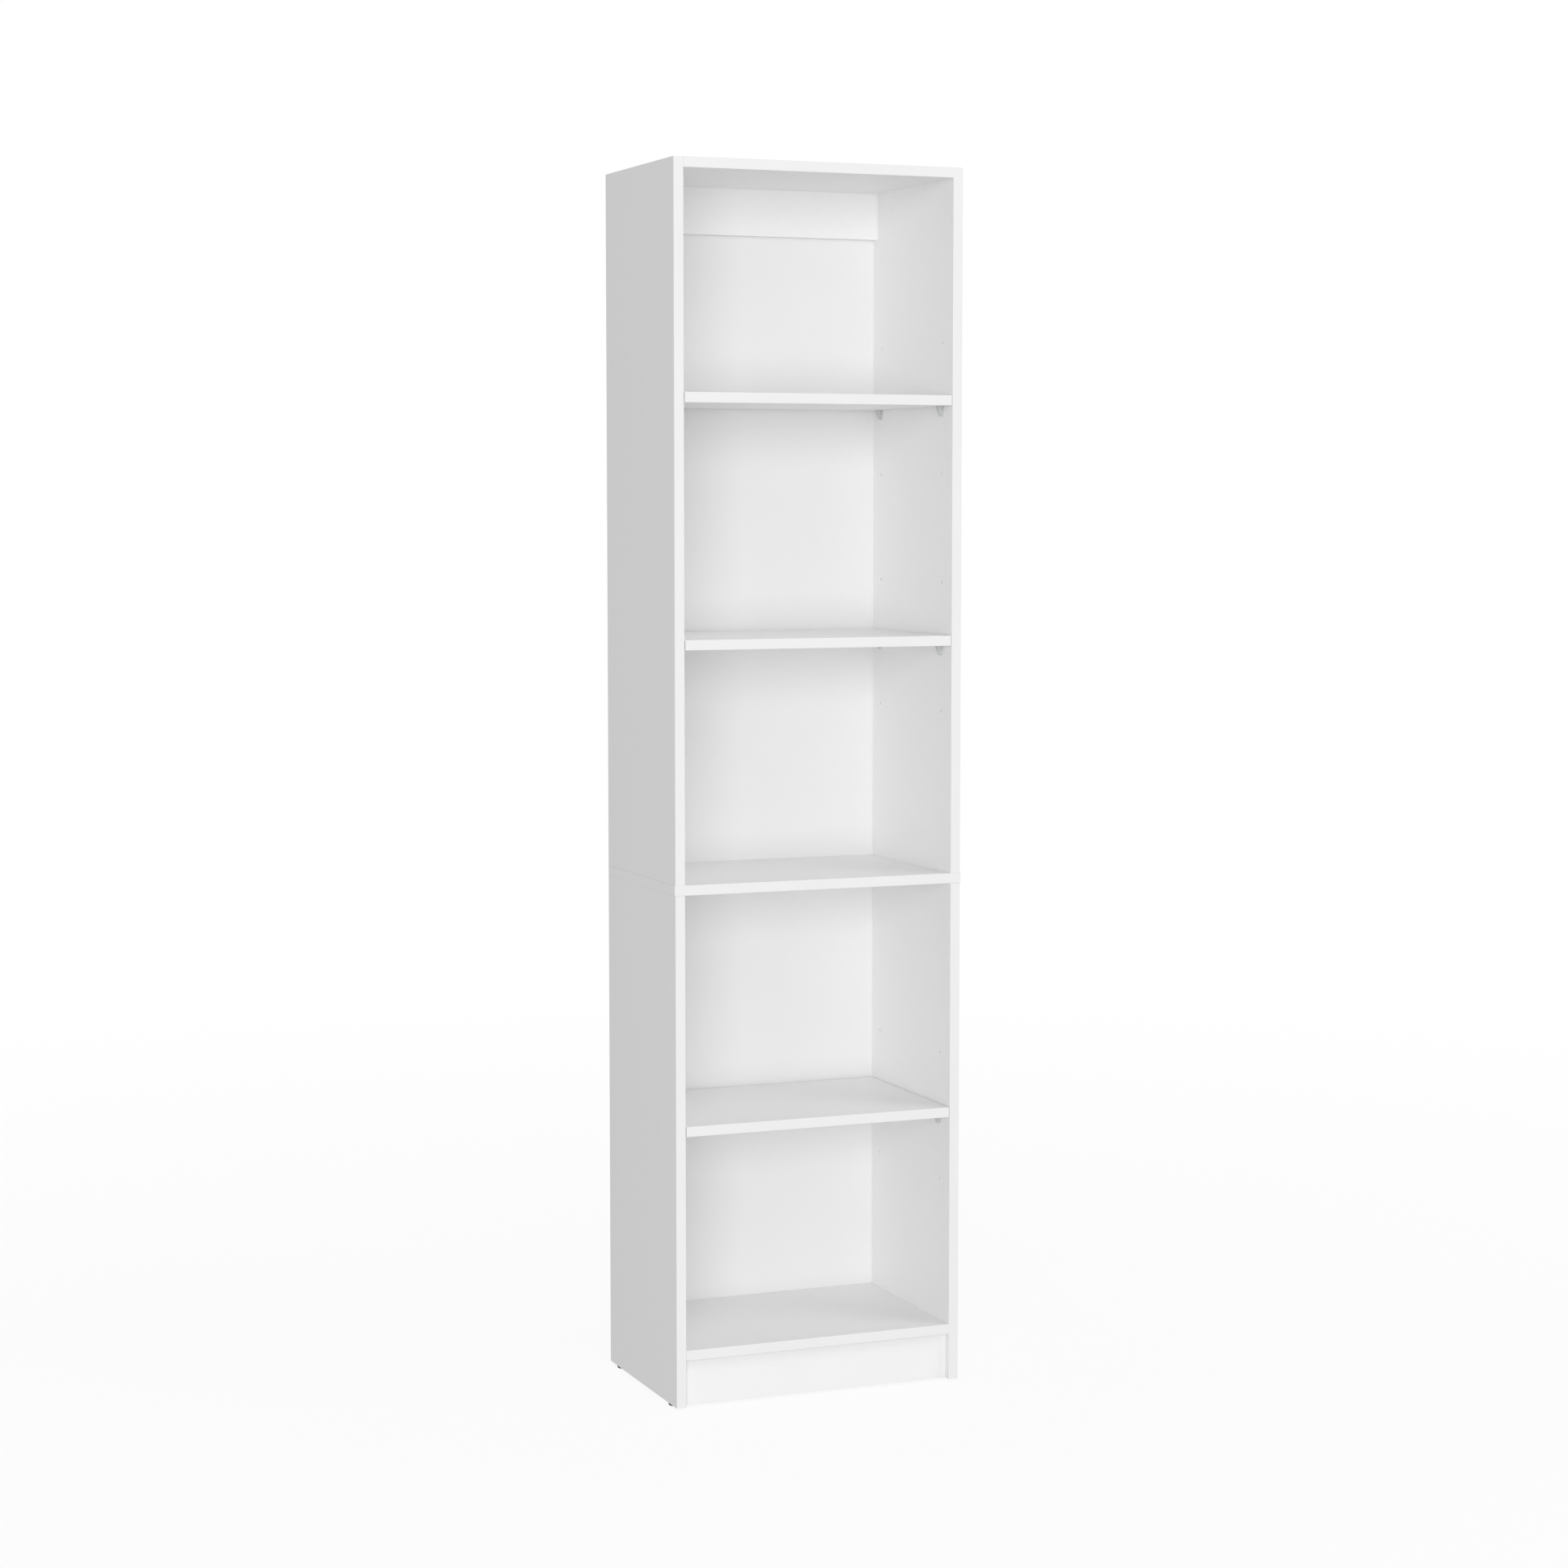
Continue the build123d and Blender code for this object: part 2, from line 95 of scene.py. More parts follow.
# Cams
CAM_RIM_HEIGHT = 0.35 * MM
CAM_FACE_RADIUS = 4.6 * MM
CAM_FACES = {"top_panel": (Z, 1), "bottom_shelf": (Z, -1), "back_rail": (Y, 1), "plinth": (Y, 1)}
CROSS_ARM = 3.1 * MM
CROSS_HALF_WIDTH = 0.75 * MM
CROSS_DEPTH = 2.4 * MM
CROSS_TAPER = 0.7               # floor of the recess over its mouth

# Glides
SOLE_ROUNDING = 2.6 * MM
SOLE_STEPS = 10
GLIDE_CHAMFER = 0.3 * MM
NAIL_RECESS_RADIUS = 2.45 * MM
NAIL_RECESS_DEPTH = 1.45 * MM
NAIL_RECESS_CHAMFER = 0.2 * MM
NAIL_BORE_RADIUS = 1.15 * MM

# Shelf pins
LEDGE_CORNER = 3.8 * MM
TIP_REACH = 4.0 * MM
TIP_WIDTH = 5.4 * MM
TIP_CORNER = 2.2 * MM
TIP_ROUNDING = 1.8 * MM
LEDGE_RIM = 0.35 * MM
WEDGE_BELLY = 1.7
LEAST_CORNER = 0.1 * MM
TIP_STEPS = 6
FLANK_STEPS = 6
RIM_STEPS = 3
PEG_RADIUS = 2.45 * MM
PEG_LENGTH = 9.0 * MM
PEG_DROP = 3.0 * MM             # below the ledge
PEG_CHAMFER = 0.6 * MM
PEG_FACETS = 32
GROOVE_STARTS = (2.0 * MM, 4.2 * MM, 6.4 * MM)
GROOVE_DEPTH = 0.2 * MM
GROOVE_SLOPE = 0.25 * MM
GROOVE_FLOOR = 0.65 * MM

# Camera and light
CAMERA_PLACE = (-1.8591, -4.5863, 1.3185)
CAMERA_YAW = 22.093             # degrees from +Y towards +X
CAMERA_PITCH = -4.866
CAMERA_LENS = 76.14             # on a 36 mm wide sensor
SKY_LIGHT = 0.505
LIGHTS = {                      # place, size, power in watts
    "key": ((-3.73, -9.24, 1.77), 4.8, 450.0),
    "side": ((6.28, -5.27, 6.64), 4.8, 220.0),
}
LIGHT_TARGET = (0.0, 0.0, 0.9)
DIFFUSE_BOUNCES = 8             # light passes between the white boards many times
FLOOR_STRENGTH = 0.08
FLOOR_RINGS = (0.0, 1.0, 2.0, 4.0, 8.0)
FLOOR_FACETS = 96
FLOOR_FADE = (0.5, 4.0)         # how far from the middle the fading starts and ends
FLOOR_SPAN = 5.0                # distance over which the floor's ramp runs from 0 to 1


# ------------------------------------------------------------------ reading the frame
def corners(node):
    """Lowest and highest corner of a CAD node."""
    low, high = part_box(node)
    return np.array(low), np.array(high)


def solid_boxes(node):
    """Boxes of the separate solids in one CAD node. Corners at one place become one, then every corner takes
    the smallest label found in its triangles, again and again, until each solid has a label of its own."""
    mesh = frame["nodes"][node].data
    mesh.calc_loop_triangles()
    points = np.empty(len(mesh.vertices) * 3, np.float32)
    mesh.vertices.foreach_get("co", points)
    triangles = np.empty(len(mesh.loop_triangles) * 3, np.int32)
    mesh.loop_triangles.foreach_get("vertices", triangles)
    places, merged = np.unique(np.round(points.reshape(-1, 3), 6), axis=0, return_inverse=True)
    triangles = merged.ravel()[triangles].reshape(-1, 3)
    label = np.arange(len(places))
    settled = False
    while not settled:
        lowest = label.copy()
        np.minimum.at(lowest, triangles.ravel(), np.repeat(label[triangles].min(axis=1), 3))
        lowest = lowest[lowest]
        settled = (lowest == label).all()
        label = lowest
    solids = [places[label == k] for k in np.unique(label)]
    return [(solid.min(axis=0), solid.max(axis=0)) for solid in solids]


def pin_hole_places(side):
    """(y, z) of every pin hole in one side: each mount is a rectangle of empty holes, and the row that
    carries the shelf lies halfway up it."""
    places = []
    for mount in frame["record"]["mounts"]:
        if mount["kind"] == "bolt_pattern" and mount["name"].startswith(side):
            _, y, z = mount["pos_m"]
            across = mount["dims"]["spacing_x_mm"] * MM / 2
            up = mount["dims"]["spacing_y_mm"] * MM / 2
            places += [(y + a, z + b) for a in (-across, across) for b in (-up, 0.0, up)]
    return places


PIN_HOLE_RADIUS = MM * next(mount["dims"]["hole_r_mm"] for mount in frame["record"]["mounts"]
                            if mount["kind"] == "bolt_pattern")


# ------------------------------------------------------------------ surfaces
class Skin:
    """Gathers patches of one piece, each with its finish, and welds them into one mesh."""

    def __init__(self):
        self.points, self.faces, self.finishes, self.smooth = [], [], [], []
        self.count = 0

    def add(self, points, faces, finish=0, smooth=False):
        """Adds a patch: its points, its faces as rows of point numbers, and its place in the finishes."""
        points = np.asarray(points, float).reshape(-1, 3)
        faces = [np.asarray(face) + self.count for face in faces]
        self.points.append(points)
        self.faces += faces
        self.finishes += [finish] * len(faces)
        self.smooth += [smooth] * len(faces)
        self.count += len(points)

    def piece(self, name, materials):
        """Points closer than a tenth of a micrometre are one, and a face keeps each point once."""
        points = np.concatenate(self.points)
        rounded = np.round(points, SAME_POINT_DIGITS)
        _, first, merged = np.unique(rounded, axis=0, return_index=True, return_inverse=True)
        merged = merged.ravel()
        faces = [list(dict.fromkeys(merged[face].tolist())) for face in self.faces]
        kept = [i for i, face in enumerate(faces) if len(face) > 2]
        mesh = bpy.data.meshes.new(name)
        mesh.from_pydata(points[first].tolist(), [], [faces[i] for i in kept])
        for material in materials:
            mesh.materials.append(material)
        mesh.polygons.foreach_set("material_index", [self.finishes[i] for i in kept])
        mesh.polygons.foreach_set("use_smooth", [self.smooth[i] for i in kept])
        mesh.update()
        mesh.set_sharp_from_angle(angle=SHARP_ANGLE)
        piece = bpy.data.objects.new(name, mesh)
        bpy.context.scene.collection.objects.link(piece)
        return piece


def quads(rows, columns, round_rows=False, round_columns=False):
    """Faces of a grid of points, row by row. The normal is the column direction cross the row direction."""
    row_steps, column_steps = rows - (not round_rows), columns - (not round_columns)
    i, j = np.meshgrid(np.arange(row_steps), np.arange(column_steps), indexing="ij")
    up, along = (i + 1) % rows, (j + 1) % columns
    face = [i * columns + j, i * columns + along, up * columns + along, up * columns + j]
    return np.stack(face, -1).reshape(-1, 4)


def axes_round(normal):
    """Two unit vectors u and v with u cross v = normal, along the frame's own axes where normal is."""
    normal = np.asarray(normal, float)
    axis = int(np.abs(normal).argmax())
    u, v = np.eye(3)[(axis + 1) % 3], np.eye(3)[(axis + 2) % 3]
    return (u, v) if normal[axis] > 0 else (v, u)


def turned(skin, profile, origin, normal, finish=0, facets=HOLE_FACETS, ring=False, smooth=True):
    """Surface of revolution: point(angle, i) = origin + radius_i (u cos + v sin) + height_i normal. The
    profile runs counter-clockwise in (radius, height), so that faces point out of the material."""
    radius, height = np.asarray(profile, float).T
    angle = math.tau / 8 + np.arange(facets) * math.tau / facets
    u, v = axes_round(normal)
    spokes = np.cos(angle)[:, None] * u + np.sin(angle)[:, None] * v
    rise = height[:, None] * np.asarray(normal, float)
    points = np.asarray(origin) + radius[:, None, None] * spokes + rise[:, None]
    skin.add(points, quads(len(radius), facets, ring, True), finish, smooth)


def arc(centre, radius, start, end, steps):
    """Points on a circle from one angle to another, in degrees."""
    angle = np.radians(np.linspace(start, end, steps + 1))
    return np.stack([centre[0] + radius * np.cos(angle), centre[1] + radius * np.sin(angle)], -1)


def drawn(skin, outline, axes, start, end, finish=0, smooth=False):
    """A closed outline carried along a straight path: point(i, t) = outline_i in the plane of axes[0] and
    axes[1], moved from start to end along axes[2]. The outline runs counter-clockwise about axes[2]."""
    outline = np.asarray(outline, float)
    points = np.zeros((2, len(outline), 3))
    points[:, :, axes[0]], points[:, :, axes[1]] = outline.T
    points[0, :, axes[2]], points[1, :, axes[2]] = start, end
    count = len(outline)
    skin.add(points, quads(2, count, False, True), finish, smooth)
    skin.add(points[0], [np.arange(count)[::-1]], finish)
    skin.add(points[1], [np.arange(count)], finish)


# ------------------------------------------------------------------ drilled boards
class Hole:
    """A blind round hole in a face of a board, at two coordinates in the face's plane, in x, y, z order."""

    def __init__(self, axis, sign, place, radius, depth):
        self.axis, self.sign, self.place, self.radius, self.depth = axis, sign, place, radius, depth
        self.half_cell = radius * CELL_SHARE


def hole_patch(skin, hole, plane, face_finish, wall_finish):
    """A square cell of the face with a round hole in it. The cell is cut into four faces, each from one
    corner to the next and back along a quarter of the rim. Then a chamfer, the wall and the hole's floor."""
    normal = np.zeros(3)
    normal[hole.axis] = hole.sign
    origin = np.insert(np.asarray(hole.place, float), hole.axis, plane)
    u, v = axes_round(normal)
    angle = math.tau / 8 + np.arange(HOLE_FACETS) * math.tau / HOLE_FACETS
    rim = origin + (hole.radius + RIM_CHAMFER) * (np.cos(angle)[:, None] * u + np.sin(angle)[:, None] * v)
    square = origin + hole.half_cell * np.array([u + v, v - u, -u - v, u - v])
    quarter = HOLE_FACETS // 4
    faces = []
    for k in range(4):
        back = [4 + (j % HOLE_FACETS) for j in range((k + 1) * quarter, k * quarter - 1, -1)]
        faces.append([k, (k + 1) % 4] + back)
    skin.add(np.concatenate([square, rim]), faces, face_finish)
    wall = [(hole.radius + RIM_CHAMFER, 0), (hole.radius, -RIM_CHAMFER), (hole.radius, -hole.depth),
            (0, -hole.depth)]
    turned(skin, wall[:3], origin, normal, wall_finish, smooth=True)
    turned(skin, wall[2:], origin, normal, wall_finish, smooth=False)


def board_skin(low, high, finish_of, holes=(), notch=None):
    """A board as a block of cells between cutting lines: a face lies wherever a full cell meets an empty one.
    The lines run round every hole's cell and along the notch, a box where the cells are empty."""
    lines = []
    for axis in range(3):
        cuts = [low[axis], high[axis]]
        cuts += [] if notch is None else [notch[0][axis], notch[1][axis]]
        for hole in holes:
            plane_axes = [a for a in range(3) if a != hole.axis]
            if axis in plane_axes:
                middle = hole.place[plane_axes.index(axis)]
                cuts += [middle - hole.half_cell, middle + hole.half_cell]
        cuts = np.unique(np.round(cuts, SAME_POINT_DIGITS))
        lines.append(cuts[(cuts >= low[axis] - SAME_POINT) & (cuts <= high[axis] + SAME_POINT)])
    middles = [(cut[1:] + cut[:-1]) / 2 for cut in lines]
    full = np.ones([len(m) for m in middles], bool)
    if notch is not None:
        inside = [(m > notch[0][a]) & (m < notch[1][a]) for a, m in enumerate(middles)]
        full &= ~(inside[0][:, None, None] & inside[1][None, :, None] & inside[2][None, None, :])

    skin = Skin()
    for axis in range(3):
        padding = [(1, 1) if a == axis else (0, 0) for a in range(3)]
        change = np.diff(np.pad(full, padding).astype(int), axis=axis)
        for sign in (-1, 1):
            cells = np.argwhere(change == -sign)
            u, v = [int(np.abs(w).argmax()) for w in axes_round(sign * np.eye(3)[axis])]
            plane = lines[axis][cells[:, axis]]
            centre = np.stack([middles[u][cells[:, u]], middles[v][cells[:, v]]], -1)
            drilled = np.zeros(len(cells), bool)
            for hole in holes:
                if (hole.axis, hole.sign) == (axis, sign):
                    place = hole.place if u < v else hole.place[::-1]
                    hit = (np.abs(centre - place) < SAME_CELL).all(axis=1)
                    drilled |= hit
                    for level in plane[hit]:
                        hole_patch(skin, hole, level, finish_of(axis, sign), finish_of(*BORE))
            cells, plane = cells[~drilled], plane[~drilled]
            points = np.zeros((len(cells), 4, 3))
            points[:, :, axis] = plane[:, None]
            for corner, (a, b) in enumerate([(0, 0), (1, 0), (1, 1), (0, 1)]):
                points[:, corner, u] = lines[u][cells[:, u] + a]
                points[:, corner, v] = lines[v][cells[:, v] + b]
            skin.add(points, np.arange(len(cells) * 4).reshape(-1, 4), finish_of(axis, sign))
    return skin


def eased(piece, width, steps=2):
    """Breaks a piece's square edges."""
    bevel = piece.modifiers.new("eased edges", "BEVEL")
    bevel.width = width
    bevel.segments = steps
    bevel.limit_method = "ANGLE"
    bevel.angle_limit = EASED_ANGLE
    return piece


# ------------------------------------------------------------------ materials
class Wire:
    """A value in a material. A sum or a product of wires and numbers adds a Math node."""

    def __init__(self, finish, socket):
        self.finish, self.socket = finish, socket

    def maths(self, operation, *others):
        settings = {"operation": operation}
        return self.finish.node("ShaderNodeMath", settings, dict(enumerate((self, *others))))

    def __add__(self, other):
        return self.maths("ADD", other)

    def __mul__(self, other):
        return self.maths("MULTIPLY", other)

    __radd__, __rmul__ = __add__, __mul__


class Finish:
    """One procedural material, read from Object coordinates."""

    def __init__(self, name, **constants):
        self.material = bpy.data.materials.new(name)
        self.material.use_nodes = True
        self.tree = self.material.node_tree
        self.shader = self.tree.nodes["Principled BSDF"]
        for socket, value in constants.items():
            self.shader.inputs[socket.replace("_", " ")].default_value = value
        self.place = self.node("ShaderNodeTexCoord", {}, {}, "Object")

    def node(self, kind, settings, inputs, output=0):
        """Adds a node: its settings first, a ramp's stops among them, then its sockets' values or links."""
        node = self.tree.nodes.new(kind)
        for key, value in settings.items():
            if key == "stops":
                while len(node.color_ramp.elements) < len(value):
                    node.color_ramp.elements.new(0.5)
                for element, (position, colour) in zip(node.color_ramp.elements, value):
                    element.position, element.color = position, colour
            else:
                setattr(node, key, value)
        for key, value in inputs.items():
            if isinstance(value, Wire):
                self.tree.links.new(value.socket, node.inputs[key])
            else:
                node.inputs[key].default_value = value
        return Wire(self, node.outputs[output])

    def stretched(self, scale, place=None):
        """The place, or another, stretched by a factor along each axis."""
        sockets = {"Vector": place or self.place, "Scale": scale}
        return self.node("ShaderNodeMapping", {"vector_type": "POINT"}, sockets)

    def noise(self, scale, detail=2.0, roughness=0.5, place=None):
        """Noise from 0 to 1 whose grain is about 1 / scale metres."""
        sockets = {"Vector": place or self.place, "Scale": scale, "Detail": detail, "Roughness": roughness}
        return self.node("ShaderNodeTexNoise", {}, sockets, "Fac")

    def ramp(self, factor, stops):
        """Colour along a row of stops, from a factor of 0 to 1."""
        return self.node("ShaderNodeValToRGB", {"stops": stops}, {"Fac": factor}, "Color")

    def mix(self, factor, one, other):
        """Blend of two colours."""
        return self.node("ShaderNodeMix", {"data_type": "RGBA"}, {0: factor, 6: one, 7: other}, 2)

    def relief(self, height, depth):
        """Raises the surface by height, from 0 to 1, times depth in metres."""
        bump = self.node("ShaderNodeBump", {}, {"Height": height, "Distance": depth, "Strength": 1.0})
        self.link("Normal", bump)

    def link(self, socket, wire):
        """Feeds one socket of the surface shader."""
        self.tree.links.new(wire.socket, self.shader.inputs[socket])


def grey(level):
    """A neutral colour."""
    return (level, level, level, 1.0)


def white_melamine():
    """Resin-faced board: even white, low sheen, a fine pearled press-plate texture and faint paper mottle."""
    finish = Finish("white_melamine", IOR=1.48)
    mottle = finish.noise(70, 3)
    cloud = finish.noise(6, 2)
    pearl = finish.noise(1100, 2, 0.55)
    tone = mottle * 0.6 + cloud * 0.4
    finish.link("Base Color", finish.ramp(tone, [(0.3, grey(0.90)), (0.7, grey(0.915))]))
    finish.link("Roughness", pearl * 0.10 + cloud * 0.06 + 0.36)
    finish.relief(pearl, 0.02 * MM)
    return finish.material


def white_edging():
    """Extruded plastic edging: a touch greyer and glossier than the boards, with faint scraper lines."""
    finish = Finish("white_edging", IOR=1.5)
    scrape = finish.noise(1.0, 2, 0.5, finish.stretched((900.0, 900.0, 60.0)))
    cloud = finish.noise(9, 2)
    finish.link("Base Color", finish.ramp(cloud, [(0.3, grey(0.858)), (0.7, grey(0.872))]))
    finish.link("Roughness", scrape * 0.10 + 0.30)
    finish.relief(scrape, 0.006 * MM)
    return finish.material


def white_foil():
    """Thin paper foil on the less visible edges: matt white, the chips below just telling through."""
    finish = Finish("white_foil", IOR=1.45)
    chips = finish.noise(420, 3, 0.6)
    finish.link("Base Color", finish.ramp(chips, [(0.3, grey(0.86)), (0.7, grey(0.89))]))
    finish.link("Roughness", chips * 0.1 + 0.5)
    finish.relief(chips, 0.04 * MM)
    return finish.material


def raw_chipboard():
    """Sawn particleboard: flattened chips of two sizes in straw and tan, with dark pits between them,
    coloured partly as resin and partly as painted shade of the hollows.
    """
    finish = Finish("raw_chipboard", IOR=1.4)
    bent = finish.noise(350, 2)
    warped = finish.node("ShaderNodeVectorMath", {"operation": "MULTIPLY_ADD"},
                         {0: bent, 1: (0.0016, 0.0016, 0.0010), 2: finish.place})
    flakes = []
    for scale in ((620.0, 620.0, 300.0), (1300.0, 1300.0, 800.0)):
        sockets = {"Vector": finish.stretched(scale, warped), "Scale": 1.0}
        cells = finish.node("ShaderNodeTexVoronoi", {"feature": "F1"}, sockets, "Color")
        flakes.append(finish.node("ShaderNodeSeparateColor", {}, {"Color": cells}, "Red"))
    dust = finish.noise(2600, 3, 0.6)
    pits = finish.noise(900, 3, 0.7)
    tone = flakes[0] * 0.4 + flakes[1] * 0.35 + dust * 0.25
    chips = finish.ramp(tone, [(0.1, (0.34, 0.22, 0.12, 1)), (0.4, (0.50, 0.36, 0.21, 1)),
                               (0.65, (0.62, 0.47, 0.30, 1)), (0.9, (0.73, 0.60, 0.42, 1))])
    # painted shade: the pits that the relief sinks get a dark brown, partly resin colour and partly painted
    # shade of the hollows
    resin_and_pit_shade = finish.ramp(pits, [(0.33, grey(0.0)), (0.42, grey(1.0))])
    finish.link("Base Color", finish.mix(resin_and_pit_shade, (0.22, 0.14, 0.08, 1), chips))
    finish.link("Roughness", dust * 0.12 + 0.78)
    finish.relief(tone * 0.5 + pits * 0.5, 0.22 * MM)
    return finish.material


def lacquered_hardboard():
    """The back sheet's inner face: thin white lacquer over pressed fibre, a little rougher than a board."""
    finish = Finish("lacquered_hardboard", IOR=1.46)
    fibre = finish.noise(520, 4, 0.6)
    cloud = finish.noise(5, 2)
    finish.link("Base Color", finish.ramp(cloud, [(0.3, grey(0.84)), (0.7, grey(0.86))]))
    finish.link("Roughness", fibre * 0.12 + 0.40)
    finish.relief(fibre, 0.025 * MM)
    return finish.material


def raw_hardboard():
    """The back sheet's outer face: brown fibre mat with the crossed-wire print of the press screen."""
    finish = Finish("raw_hardboard", IOR=1.4)
    fibre = finish.noise(300, 5, 0.65)
    blotch = finish.noise(14, 4, 0.6)
    waves = [finish.node("ShaderNodeTexWave", {"wave_type": "BANDS", "bands_direction": way},
                         {"Vector": finish.place, "Scale": 130.0, "Distortion": 0.6, "Detail": 1.0}, "Fac")
             for way in ("X", "Z")]
    screen = waves[0] * waves[1]
    tone = fibre * 0.45 + blotch * 0.35 + screen * 0.2
    browns = [(0.25, (0.16, 0.088, 0.045, 1)), (0.5, (0.27, 0.16, 0.088, 1)), (0.75, (0.38, 0.245, 0.145, 1))]
    finish.link("Base Color", finish.ramp(tone, browns))
    finish.link("Roughness", fibre * 0.15 + 0.74)
    finish.relief(screen * 0.7 + fibre * 0.3, 0.18 * MM)
    return finish.material


def frosted_plastic():
    """Grey translucent moulding of the shelf pins, with a fine spark-eroded frost."""
    finish = Finish("frosted_plastic", IOR=1.49, Transmission_Weight=0.15)
    frost = finish.noise(3200, 2, 0.5)
    flow = finish.noise(160, 2)
    greys = [(0.3, (0.61, 0.615, 0.62, 1)), (0.7, (0.68, 0.685, 0.69, 1))]
    finish.link("Base Color", finish.ramp(flow, greys))
    finish.link("Roughness", frost * 0.14 + 0.32)
    finish.relief(frost, 0.02 * MM)
    return finish.material


def glide_plastic():
    """Dark grey hard plastic of the glides, scuffed on the sole."""
    finish = Finish("glide_plastic", IOR=1.48)
    scuff = finish.noise(900, 4, 0.65)
    finish.link("Base Color", finish.ramp(scuff, [(0.35, grey(0.018)), (0.75, grey(0.04))]))
    finish.link("Roughness", scuff * 0.25 + 0.33)
    finish.relief(scuff, 0.03 * MM)
    return finish.material


def zinc_casting():
    """Dull die-cast zinc of the cams, with flow marks."""
    finish = Finish("zinc_casting", Metallic=1.0)
    flow = finish.noise(600, 4, 0.6)
    finish.link("Base Color", finish.ramp(flow, [(0.3, (0.50, 0.50, 0.51, 1)), (0.7, (0.66, 0.66, 0.67, 1))]))
    finish.link("Roughness", flow * 0.25 + 0.32)
    finish.relief(flow, 0.03 * MM)
    return finish.material


def plated_steel(name, colour, roughness):
    """Zinc-plated or bright steel with fine drawing marks."""
    finish = Finish(name, Metallic=1.0)
    marks = finish.noise(1500, 3, 0.6)
    bright = tuple(min(1.0, c * 1.12) for c in colour)
    finish.link("Base Color", finish.ramp(marks, [(0.3, (*colour, 1)), (0.7, (*bright, 1))]))
    finish.link("Roughness", marks * 0.15 + roughness)
    finish.relief(marks, 0.01 * MM)
    return finish.material


def beech():
    """Unfinished beech of the dowels, with short darker flecks along the grain."""
    finish = Finish("beech", IOR=1.4)
    grain = finish.noise(1.0, 4, 0.6, finish.stretched((260.0, 900.0, 900.0)))
    flecks = finish.noise(1.0, 2, 0.5, finish.stretched((500.0, 2600.0, 2600.0)))
    browns = [(0.3, (0.50, 0.34, 0.20, 1)), (0.7, (0.70, 0.52, 0.34, 1))]
    finish.link("Base Color", finish.ramp(grain * 0.7 + flecks * 0.3, browns))
    finish.link("Roughness", grain * 0.15 + 0.6)
    finish.relief(grain, 0.05 * MM)
    return finish.material


MELAMINE, EDGING, FOIL, CHIPBOARD = white_melamine(), white_edging(), white_foil(), raw_chipboard()
LACQUERED, HARDBOARD = lacquered_hardboard(), raw_hardboard()
FROSTED, GLIDE_PLASTIC, ZINC, BEECH = frosted_plastic(), glide_plastic(), zinc_casting(), beech()
BOLT_STEEL = plated_steel("bolt_steel", (0.60, 0.61, 0.63), 0.24)
SCREW_STEEL = plated_steel("screw_steel", (0.62, 0.60, 0.52), 0.28)
NAIL_STEEL = plated_steel("nail_steel", (0.52, 0.52, 0.53), 0.30)


def fit(piece, node):
    """Puts a finished piece in a CAD node's place, on the node's own body."""
    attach(piece, frame["nodes"][node]["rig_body"])
    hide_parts(node)


# ------------------------------------------------------------------ boards
BOARD_FINISHES = [MELAMINE, CHIPBOARD, FOIL]


def board_finish(thickness_axis, foil_edges):
    """Melamine on the two large faces, foil on the named edges, the bores among them, chipboard elsewhere."""
    def finish_of(axis, sign):
        if axis == thickness_axis:
            return 0
        return 2 if (axis, sign) in foil_edges else 1
    return finish_of


def make_board(node, thickness_axis, foil_edges=(), holes=(), notch=None):
    """One board the size of its CAD node, with its finishes, its holes and its eased edges."""
    low, high = corners(node)
    skin = board_skin(low, high, board_finish(thickness_axis, foil_edges), holes, notch)
    piece = eased(skin.piece(node + "_board", BOARD_FINISHES), BOARD_ARRIS)
    fit(piece, node)


def make_sides():
    """Four lengths of side, drilled for the pins and rebated for the back sheet."""
    sheet_front = corners("back_panel_upper")[0][Y]
    for side, inward in (("left", 1), ("right", -1)):
        for length in ("lower", "upper"):
            node = f"{side}_side_{length}"
            low, high = corners(node)
            inner = high[X] if inward > 0 else low[X]
            places = [(y, z) for y, z in pin_hole_places(side) if low[Z] < z < high[Z]]
            holes = [Hole(X, inward, place, PIN_HOLE_RADIUS, PIN_HOLE_DEPTH) for place in places]
            rebate_low, rebate_high = sorted((inner, inner - inward * REBATE_WIDTH))
            notch = ((rebate_low, sheet_front, low[Z]), (rebate_high, high[Y], high[Z]))
            foil = [BORE, (Z, 1)] if length == "upper" else [BORE]
            make_board(node, X, foil, holes, notch)


def cam_holes(board, axis, sign):
    """Pockets for the cams of one board, on the face that they open on."""
    holes = []
    for low, high in solid_boxes(board + "_cam_locks"):
        place = np.delete((low + high) / 2, axis)
        holes.append(Hole(axis, sign, place, CAM_POCKET_RADIUS, CAM_POCKET_DEPTH))
    return holes


def make_cross_boards():
    """The boards between the sides, the fixed shelf and the three loose shelves."""
    for node, (axis, sign) in CAM_FACES.items():
        foil = [(Z, -1)] if node == "back_rail" else []
        make_board(node, axis, foil, cam_holes(node, axis, sign))
    make_board("fixed_shelf", Z)
    for level in ("upper", "centre", "lower"):
        make_board("adjustable_shelf_" + level, Z, [(X, -1), (X, 1), (Y, 1)])


def strip(skin, low, high, outward_axis, sign, finish=0):
    """A strip of edging: a rectangle whose two outward corners are rounded, carried along its length. The
    outline is reversed where its plane's axes would turn the faces inwards."""
    size = high - low
    along = int(size.argmax())
    across = 3 - along - outward_axis
    back = low if sign > 0 else high
    r = EDGING_ARRIS
    depth = size[outward_axis] - r
    half = size[across] / 2
    flat = half - r - ARRIS_MARGIN
    outline = np.concatenate([
        [(-half, 0.0), (half, 0.0)], arc((half - r, depth), r, 0, 90, ARRIS_STEPS),
        [(flat, depth + r), (-flat, depth + r)], arc((r - half, depth), r, 90, 180, ARRIS_STEPS)])
    points = np.stack([outline[:, 0] + (low + high)[across] / 2,
                       back[outward_axis] + sign * outline[:, 1]], -1)
    even = (across + 1) % 3 == outward_axis
    if (sign > 0) != even:
        points = points[::-1]
    drawn(skin, points, (across, outward_axis, along), low[along], high[along], finish, smooth=True)


